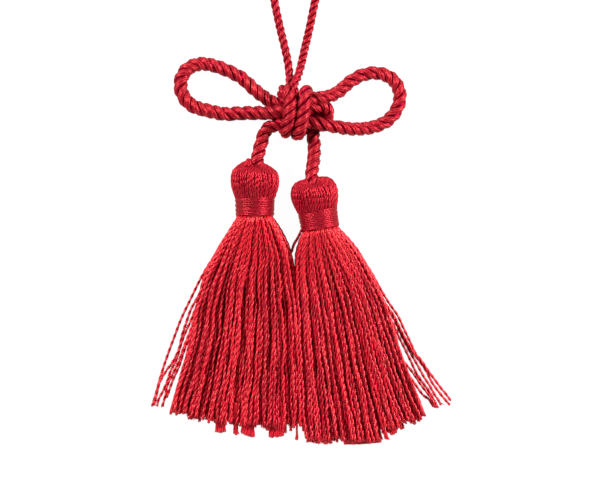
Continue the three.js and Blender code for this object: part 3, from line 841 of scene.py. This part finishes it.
@dataclass
class Tassel:
    """A tassel: covered head, neck binding and fringe. Its sizes are in millimetres.

    Attributes:
        side: Side that it hangs on.
        top: Middle of the head's top.
        tilt: Turn of its axis in the plane of the surface, in degrees.
        lean: How much higher its left shoulder is than its right one.
        outline: Outline of the head.
        rows: Levels of the skirt.
        hem: Reach of the yarns across the skirt.
        strays: Yarns that lie apart.
        tufts: Loose yarn below the hem.
        seed: Start of its own unevenness.
        notch: How far the cover dips where the rope comes in.
        head_yarns: Number of yarns round the head.
        head_yarn_radius: Radius of a head yarn.
        binding_radius: Outer radius of the binding.
        binding_length: Length of the binding.
        thread_radius: Radius of the binding thread.
        thread_gap: Distance between two turns of the binding.
        columns: Fringe yarns across each layer, from the surface up.
        yarn_radius: Radius of a fringe yarn.
        yarn_pitch: Length of one turn of a fringe yarn's twist.
        stray_fullness: How thick a stray yarn is against a fringe yarn.
        loose_ends: Small yarn ends that stand up from the head.
        thread_tails: Loose tails of the binding thread.
        cross_threads: Yarn ends that lie across under the hem.
    """

    side: Side
    top: Point
    tilt: float
    lean: float
    outline: Pairs
    rows: tuple[SkirtRow, ...]
    hem: Pairs
    strays: tuple[Path, ...]
    tufts: tuple[Tuft, ...]
    seed: int
    notch: float = 2.4
    head_yarns: int = 54
    head_yarn_radius: float = 0.52
    binding_radius: float = 6.4
    binding_length: float = 5.9
    thread_radius: float = 0.42
    thread_gap: float = 0.5
    columns: tuple[int, ...] = (44, 35, 36, 38, 38)
    yarn_radius: float = 0.52
    yarn_pitch: float = 4.7
    stray_fullness: float = 1.02
    loose_ends: tuple[Path, ...] = ()
    thread_tails: tuple[Path, ...] = ()
    cross_threads: tuple[Path, ...] = ()

    def __post_init__(self) -> None:
        """Sets up the tassel's own random numbers."""
        self.chance = random.Random(self.seed)

    def named(self, kind: str) -> str:
        """Name of this tassel's piece or node of the given kind."""
        return f"{kind}_{self.side.value}"

    @property
    def node(self) -> str:
        """CAD node of the head and fringe."""
        return self.named("tassel")

    @property
    def neck(self) -> float:
        """Distance down the axis at which the head ends, in millimetres."""
        return self.outline[-3][0]

    def place(self, across: float, along: float, up: float) -> Points:
        """Point given from the head's top: across the axis, along it and up from it."""
        turn = math.radians(self.tilt)
        return np.array(
            (
                self.top[0] + across * math.cos(turn) + along * math.sin(turn),
                self.top[1] + across * math.sin(turn) - along * math.cos(turn),
                self.top[2] + up,
            )
        )

    def round_point(self, angle: float, radius: float, along: float, low: float = 0.2) -> Points:
        """Point on a round section of the head or neck, no lower than the given height."""
        point = self.place(radius * math.sin(angle), along, radius * math.cos(angle))
        point[2] = max(point[2], low)
        return point

    def dip(self, angle: float, along: float) -> float:
        """How far the head's top is moved down its axis, in millimetres.

        Args:
            angle: Place round the head, from the side that faces up.
            along: Distance down the axis.

        Returns:
            The notch where the rope comes in and the shoulders' lean. Both fade down the head.
        """
        notch_reach, lean_reach, notch_width = 5.0, 9.0, 1.3
        below = max(0.0, along)
        fade = max(0.0, 1 - below / notch_reach) ** 2
        slant = max(0.0, 1 - below / lean_reach)
        notch = self.notch * max(0.0, math.cos(angle)) ** notch_width * fade
        return notch + self.lean * math.sin(angle) * slant

    def head_core(self) -> bpy.types.Object:
        """The padded core under the covering yarns, spun from its outline."""
        lower, inside, hole_depth = 0.4, 0.6, 2.6
        neck, end = self.neck, self.neck + self.binding_length
        cover = [pair for pair in self.outline if pair[0] < neck]
        outline = [(along + lower, radius - inside) for along, radius in cover]
        outline += [(neck + lower, 5.75), (end + 0.2, 5.6), (end + 1.0, 4.9)]
        work = bmesh.new()
        verts = [work.verts.new((0, 0, hole_depth))]
        verts += [work.verts.new((radius, 0, along)) for along, radius in outline]
        verts += [work.verts.new((0, 0, outline[-1][0]))]
        edges = [work.edges.new(pair) for pair in zip(verts, verts[1:])]
        shape = [*verts, *edges]
        bmesh.ops.spin(work, geom=shape, axis=(0, 0, 1), angle=FULL_TURN, steps=40, use_merge=True)
        bmesh.ops.remove_doubles(work, verts=work.verts, dist=1e-4)
        for vert in work.verts:
            angle = math.atan2(vert.co.x, vert.co.y)
            radius = math.hypot(vert.co.x, vert.co.y)
            along = vert.co.z + self.dip(angle, vert.co.z)
            vert.co = self.round_point(angle, radius, along) * MM
        name = self.named("head_core")
        return HEAD_YARN.dress(finished(name, mesh_of(name, work)), self.node)

    def head_cover(self) -> bpy.types.Object:
        """The yarns that run from the top hole over the head into the neck."""
        step, sway_rate, lift_rate = 0.42, 0.55, 0.4
        bundle = StrandBundle(self.named("head_cover"), Section(8, 2, 0.38), pitch=3.6)
        for i in range(self.head_yarns):
            sway = self.chance.uniform(-0.05, 0.05)
            lift = self.chance.uniform(-0.14, 0.1)
            start = self.chance.uniform(0, ANY_PHASE)
            even = FULL_TURN * (i + 0.5) / self.head_yarns
            path = []
            for along, radius in self.outline:
                angle = even + sway * math.sin(along * sway_rate + start)
                lifted = radius - self.head_yarn_radius + lift * math.sin(along * lift_rate + start)
                reach = along + self.dip(angle, along)
                path.append(self.round_point(angle, lifted, reach, self.head_yarn_radius))
            line = smooth_line(path, step)
            bundle.add(line, self.head_yarn_radius, start, self.chance.random())
        for loose in self.loose_ends:
            bundle.add(smooth_line(loose, step), radius=0.42, tone=0.6)
        return HEAD_YARN.dress(bundle.build(), self.node)

    def neck_binding(self) -> bpy.types.Object:
        """The thread wound round the neck."""
        start = self.neck + 0.3
        narrowing, points_a_turn = 0.25, 72
        turns = self.binding_length / self.thread_gap
        count = int(turns * points_a_turn)
        line = []
        for i in range(count + 1):
            share = i / count
            angle = FULL_TURN * turns * share
            wobble = 0.08 * math.sin(angle * 0.37 + self.seed) + 0.05 * math.sin(angle * 1.31)
            along = start + self.binding_length * share + 0.1 * math.sin(angle * 0.12 + self.seed)
            radius = self.binding_radius - narrowing * share - self.thread_radius + wobble
            line.append(self.round_point(angle, radius, along, self.thread_radius))
        bundle = StrandBundle(self.named("binding_thread"), Section(6, 2, 0.28), pitch=2.6)
        bundle.add(np.array(line), self.thread_radius)
        for tail in self.thread_tails:
            bundle.add(smooth_line(tail, 0.4), radius=0.5, tone=0.2)
        return BINDING_THREAD.dress(bundle.build(), self.named("binding"))

    def hem_reach(self, across: float) -> float:
        """How far down the yarns at this share of the way across reach."""
        at, reach = zip(*self.hem)
        return float(np.interp(across, at, reach))

    def waved(self, line: Points) -> Points:
        """Gives a yarn its small waves, which grow from the neck down."""
        full_after = 18.0
        run = arc_lengths(line)
        grow = np.clip(run / full_after, 0, 1)
        out = line.copy()
        for axis, size in WAVE_SHARES:
            for length, most in YARN_WAVES:
                tall = self.chance.uniform(0.2, 1.0) * most * size
                wave = FULL_TURN / (length * self.chance.uniform(0.8, 1.25))
                out[:, axis] += grow * tall * np.sin(run * wave + self.chance.uniform(0, ANY_PHASE))
        out[:, 2] = np.maximum(out[:, 2], self.yarn_radius)
        return out

    def layer_height(self, layer: int, row: SkirtRow) -> float:
        """Height of a layer in a level, from -1 to 1. The upper three lie close together."""
        highest, yarns_apart = 0.8, 1.8
        below = len(self.columns) - 1 - layer
        even = 2 * (layer + 0.5) / len(self.columns) - 1
        close = highest - below * yarns_apart * self.yarn_radius * 2 / (row.high - row.low)
        return max(even, close) if below < 3 else even

    def yarn_line(self, column: int, layer: int) -> Points:
        """Middle line of one fringe yarn, from under the binding to its tip.

        Args:
            column: Place across the skirt, from 0.
            layer: Place up the skirt, from 0 on the surface.

        Returns:
            Evenly spaced points, in millimetres.
        """
        chance = self.chance
        loose = min(layer, 1)
        uneven = loose * chance.uniform(-0.5, 0.5)
        across = (column + 0.5 + 0.5 * (layer % 2) + uneven) / (self.columns[layer] + 0.5)
        shift = loose * chance.uniform(-0.42, 0.42)
        drift_u = chance.gauss(0, 0.048)
        drift_u += chance.uniform(-0.15, 0.15) if chance.random() < 0.3 else 0
        drift_v = loose * chance.gauss(0, 0.32)
        u_edge, v_edge = 0.985, 0.97
        path = []
        for n, row in enumerate(self.rows):
            share = n / (len(self.rows) - 1)
            clump = 0.0
            for most, waves, by_layer, by_level, by_seed in CLUMPS:
                turn = FULL_TURN * across * waves + by_layer * layer + by_level * share
                clump += most * math.sin(turn + by_seed * self.seed)
            clump *= min(1.0, (share * 1.6) ** 2)
            u = 2 * across - 1 + loose * (clump + drift_u * math.sin(share * 2.6))
            lift = 2 * (shift + drift_v * share) / (row.high - row.low)
            v = self.layer_height(layer, row) + lift
            point = row.point(max(-u_edge, min(u_edge, u)), max(-v_edge, min(v_edge, v)))
            point[2] = max(point[2], self.yarn_radius)
            path.append(point)
        line = smooth_line(path, self.yarn_pitch / 6)
        if loose:
            line = self.waved(line)
        tip = self.hem_reach(across) + chance.gauss(0, 0.4)
        return line[line[:, 1] >= tip]

    def fringe(self) -> None:
        """The twisted yarns of the skirt, in three pieces, and their frayed tips."""
        tips = StrandBundle(self.named("fringe_tips"), Section(3, 1, 0.0), pitch=9.0)
        for part, (layers, section, fullness, shades) in FRINGE_PARTS.items():
            bundle = StrandBundle(self.named(f"fringe_{part}"), section, self.yarn_pitch)
            lines = [
                self.yarn_line(column, layer)
                for layer in layers
                for column in range(self.columns[layer])
            ]
            count = len(lines)
            if part == "upper":
                lines += [smooth_line(stray, self.yarn_pitch / 6) for stray in self.strays]
            for i, line in enumerate(lines):
                full = self.stray_fullness
                if i < count:
                    full = fullness * self.chance.uniform(0.9, 1.1)
                thick = self.yarn_radius * full
                run = arc_lengths(line)
                radii = thick * np.interp(run, *YARN_TAPER)
                line[:, 2] = np.maximum(line[:, 2], radii)
                # Painted light: the lower and middle layers take lighter tones from their range
                tone = self.chance.uniform(*shades)
                # Painted light: each yarn is drawn lighter near the neck
                tones = tone + (1 - tone) * np.interp(run, *NECK_PAINTED_LIGHT)
                bundle.add(line, radii, self.chance.uniform(0, ANY_PHASE), tones)
                self.fray(tips, line, thick)
            FRINGE_YARN.dress(bundle.build(), self.node)
        self.hem_tufts(tips)
        FRINGE_YARN.dress(tips.build(), self.node)

    def hem_tufts(self, tips: StrandBundle) -> None:
        """The loose yarns that hang below the hem.

        Args:
            tips: Bundle that their frayed ends go to.
        """
        thin, spread, root_y, step = 0.41, 0.75, -93.0, 0.6
        bundle = StrandBundle(self.named("hem_tufts"), Section(8, 3, 0.3), pitch=8.0)
        for tuft in self.tufts:
            middle = (tuft.left + tuft.right) / 2
            for level in range(2 if tuft.radius > thin else 1):
                for x in tuft.places():
                    low = tuft.radius * (1 + 1.5 * level) + 0.6
                    side = 2 * (x - middle) / (tuft.right - tuft.left)
                    end = tuft.end + tuft.slant * side + 0.5 * side * side
                    end += self.chance.gauss(0, 0.18) + 0.25 * level
                    root = middle + spread * (x - middle)
                    half_way = ((root + x) / 2, root_y - 5.0, low + 0.5)
                    line = smooth_line(((root, root_y, low + 1.2), half_way, (x, end, low)), step)
                    run = arc_lengths(line)
                    swelling = np.interp(run[-1] - run, (0, 2, 5), (tuft.swell, 1.0, 0.9))
                    phase, tone = self.chance.uniform(0, ANY_PHASE), self.chance.uniform(0.5, 1.0)
                    bundle.add(line, tuft.radius * swelling, phase, tone)
                    self.fray(tips, line, tuft.radius)
        for thread in self.cross_threads:
            bundle.add(smooth_line(thread, step), radius=0.45, tone=0.3)
        FRINGE_YARN.dress(bundle.build(), self.node)

    def fray(self, tips: StrandBundle, line: Points, thick: float) -> None:
        """Spreads a few loose fibres from the cut end of a yarn.

        Args:
            tips: Bundle that the fibres go to.
            line: Middle line of the yarn.
            thick: Radius of the yarn, in millimetres.
        """
        fibres, radii, lowest = 6, np.array([0.16, 0.15, 0.1]), 0.16
        spread = (0.62, 0.2, 0.5)
        end = line[-1]
        way = end - line[-4]
        way /= np.linalg.norm(way)
        for _ in range(fibres):
            aside = np.array([self.chance.gauss(0, most) for most in spread])
            root = end - 0.6 * way + thick * 0.4 * aside
            tip = end + way * self.chance.uniform(0.02, 0.36) + thick * 0.75 * aside
            root[2], tip[2] = max(root[2], lowest), max(tip[2], lowest)
            middle = (root + tip) / 2 + thick * 0.15 * aside
            middle[2] = max(middle[2], lowest)
            tips.add(np.array([root, middle, tip]), radii, tone=self.chance.random())

    def build(self) -> None:
        """Builds every piece of the tassel."""
        self.head_core()
        self.head_cover()
        self.neck_binding()
        self.fringe()


# Studio ---------------------------------------------------

# Place and side in metres, and power in watts, of each soft light
SOFTBOXES = {
    "right_softbox": ((0.44, 0.14, 0.27), 0.15, 7.0),
    "left_softbox": ((-0.42, 0.16, 0.3), 0.15, 5.6),
    "front_softbox": ((0.04, -0.56, 0.22), 0.35, 2.2),
    "back_softbox": ((-0.03, 0.62, 0.16), 0.35, 2.3),
}


@dataclass
class Studio:
    """Pale floor, soft lights and the camera straight above.

    Attributes:
        aim: Point on the object's plane in the middle of the picture, in metres.
        lens: Focal length of the camera, in millimetres.
        width: Width of the picture on that plane, in metres.
    """

    aim: Point = (0.0008, -0.04416, 0.0021)
    lens: float = 150.0
    width: float = 0.192

    def floor(self) -> None:
        """Lays the plain white floor, lit a little from below as a light table is."""
        work = bmesh.new()
        bmesh.ops.create_grid(work, x_segments=1, y_segments=1, size=1.5)
        bmesh.ops.translate(work, vec=(0, 0, -0.0002), verts=work.verts)
        floor = placed("floor", mesh_of("floor", work))
        paper = bpy.data.materials.new("white_paper")
        paper.use_nodes = True
        shader = paper.node_tree.nodes["Principled BSDF"]
        shader.inputs["Base Color"].default_value = (0.07, 0.07, 0.07, 1.0)
        shader.inputs["Roughness"].default_value = 0.9
        shader.inputs["Specular IOR Level"].default_value = 0.1
        shader.inputs["Emission Color"].default_value = (1.0, 1.0, 1.0, 1.0)
        shader.inputs["Emission Strength"].default_value = 0.97
        floor.data.materials.append(paper)

    def light(self, name: str, at: Point, size: float, power: float) -> None:
        """Adds a square soft light that faces the object.

        Args:
            name: Name of the light.
            at: Its place, in metres.
            size: Its side, in metres.
            power: Its power, in watts.
        """
        lamp = bpy.data.lights.new(name, "AREA")
        lamp.size = size
        lamp.energy = power
        made = placed(name, lamp)
        made.location = at
        away = Vector(at) - Vector(self.aim)
        made.rotation_mode = "QUATERNION"
        made.rotation_quaternion = away.to_track_quat("Z", "Y")

    def lights(self) -> None:
        """Sets the sky and the lights."""
        world = bpy.data.worlds.new("studio")
        world.use_nodes = True
        sky = world.node_tree.nodes["Background"]
        sky.inputs["Color"].default_value = (1.0, 1.0, 1.0, 1.0)
        sky.inputs["Strength"].default_value = 0.14
        bpy.context.scene.world = world
        bpy.context.scene.view_settings.view_transform = "Standard"
        for name, (at, size, power) in SOFTBOXES.items():
            self.light(name, at, size, power)

    def camera(self) -> None:
        """Hangs the camera straight above the object, its top towards the hanging cord."""
        data = bpy.data.cameras.new("camera")
        data.lens = self.lens
        height = self.width * self.lens / data.sensor_width
        camera = placed("camera", data)
        camera.location = (self.aim[0], self.aim[1], self.aim[2] + height)
        bpy.context.scene.camera = camera

    def build(self) -> None:
        """Sets up the whole studio."""
        self.floor()
        self.lights()
        self.camera()


# Making ---------------------------------------------------


def main() -> None:
    """Builds the studio and every piece, in order."""
    logging.basicConfig(level=logging.INFO, format="%(name)s: %(message)s")
    Studio().build()
    LaidCord(
        "bow_rope_plies", "bow_rope", ROPE_ROUTE, radius=2.3, pitch=9.6, finish=ROPE_YARN,
        section=Section(32, 7, 0.2), yarn_pitch=15.0, step=0.5,
        fullness=((0.0, 1.0), (0.42, 1.0), (0.46, 1.05), (0.66, 1.05), (0.7, 1.0), (1.0, 1.0)),
    ).build()
    LaidCord(
        "hanging_cord_plies", "hanger_cord", HANGER_ROUTE, radius=1.42, pitch=6.7,
        finish=HANGER_YARN, section=Section(20, 5, 0.18), yarn_pitch=9.5, step=0.4,
    ).build()
    # Dark fillers in the knot, painted as shade between its strands
    KnotHeart("knot_heart", middle=(0.0, 0.0, 4.6), half=(4.2, 4.8, 2.6)).build()
    KnotHeart("knot_side_heart", middle=(6.4, 0.5, 2.3), half=(3.4, 3.6, 1.9)).build()
    Tassel(
        Side.LEFT, top=(-13.54, -16.1, 7.6), tilt=0.0, lean=0.45, outline=LEFT_OUTLINE,
        rows=LEFT_ROWS, hem=LEFT_HEM, strays=LEFT_STRAYS, tufts=LEFT_TUFTS, seed=3,
        loose_ends=LEFT_LOOSE_ENDS,
    ).build()
    Tassel(
        Side.RIGHT, top=(4.64, -21.8, 7.6), tilt=9.7, lean=0.0, outline=RIGHT_OUTLINE,
        rows=RIGHT_ROWS, hem=RIGHT_HEM, strays=RIGHT_STRAYS, tufts=RIGHT_TUFTS, seed=8,
        thread_tails=RIGHT_THREAD_TAILS, cross_threads=RIGHT_CROSS_THREADS,
    ).build()


if __name__ == "__main__":
    main()
